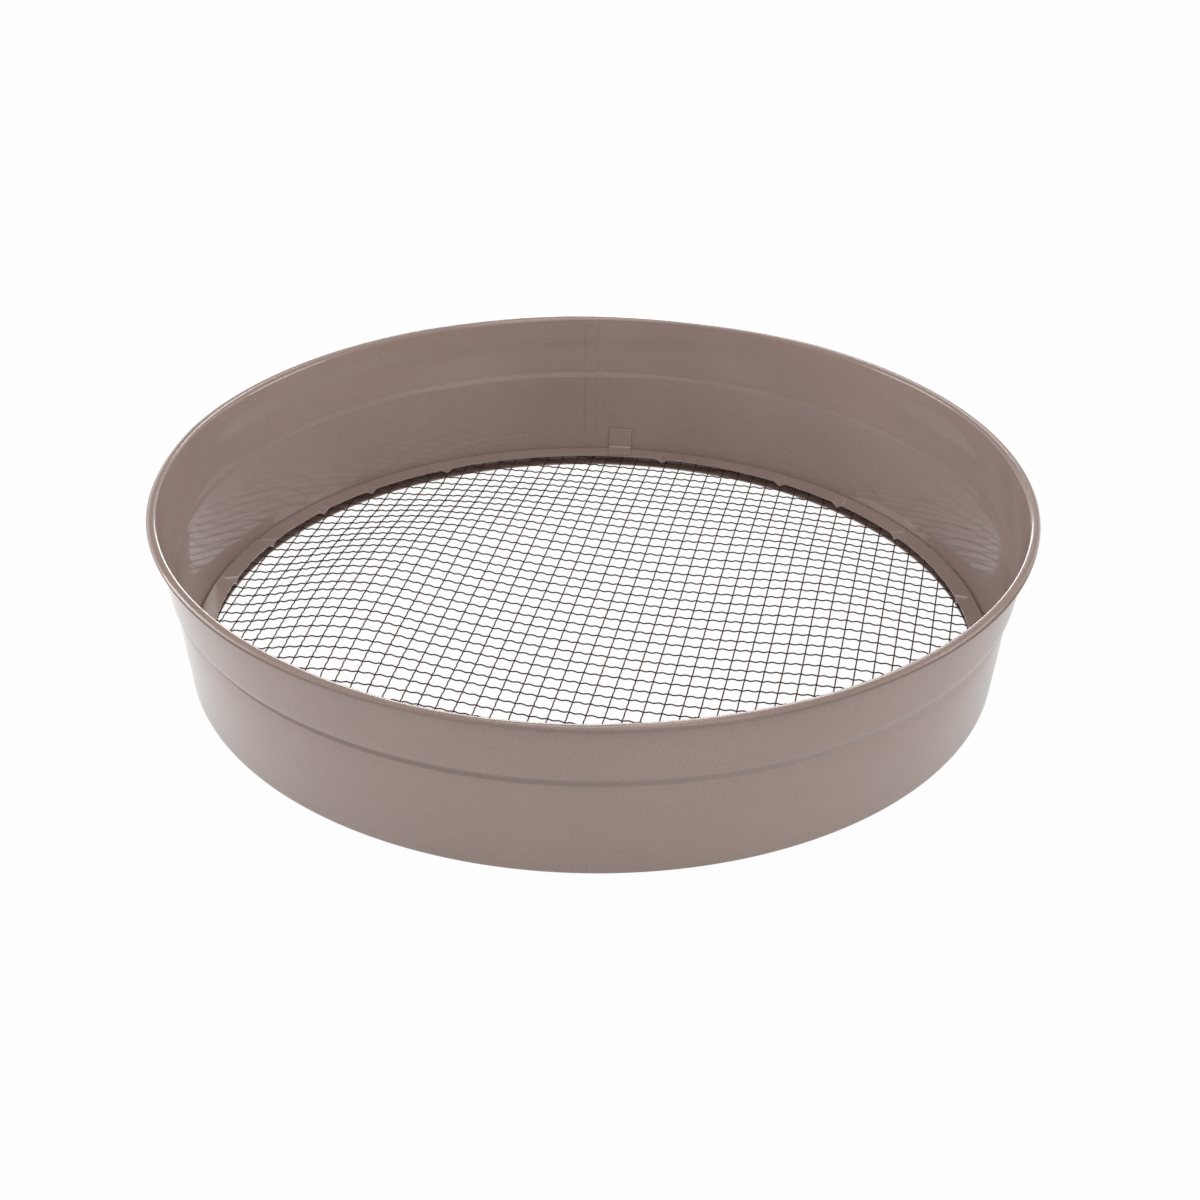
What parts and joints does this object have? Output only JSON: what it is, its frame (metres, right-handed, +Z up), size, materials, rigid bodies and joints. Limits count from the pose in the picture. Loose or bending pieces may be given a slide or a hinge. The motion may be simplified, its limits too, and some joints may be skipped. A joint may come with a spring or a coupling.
{
  "type": "garden sieve",
  "caption": "Round garden riddle: a tapered, painted steel wall with a rolled rim and a stepped bead, holding a coarse woven wire mesh at its foot under a crimped ring.",
  "frame": {"origin": "on the ground, under the middle of the round base", "axes": "+Z up the riddle's axis towards the open rim; the two lap seams lie on +Y and -Y"},
  "size_m": [0.368, 0.368, 0.073],
  "materials": {
    "wall_paint": "smooth semi-gloss taupe enamel on pressed steel sheet",
    "ring_paint": "semi-gloss taupe enamel on steel strip",
    "wire_paint": "satin brown-taupe enamel on crimped steel wire"
  },
  "bodies": {
    "root": {"wall_right_half": "wall_paint", "wall_left_half": "wall_paint", "mesh_weft_wires": "wire_paint", "mesh_warp_wires": "wire_paint", "mesh_retaining_ring": "ring_paint", "retaining_clip_back": "ring_paint", "retaining_clip_front": "ring_paint"}
  },
  "joints": []
}
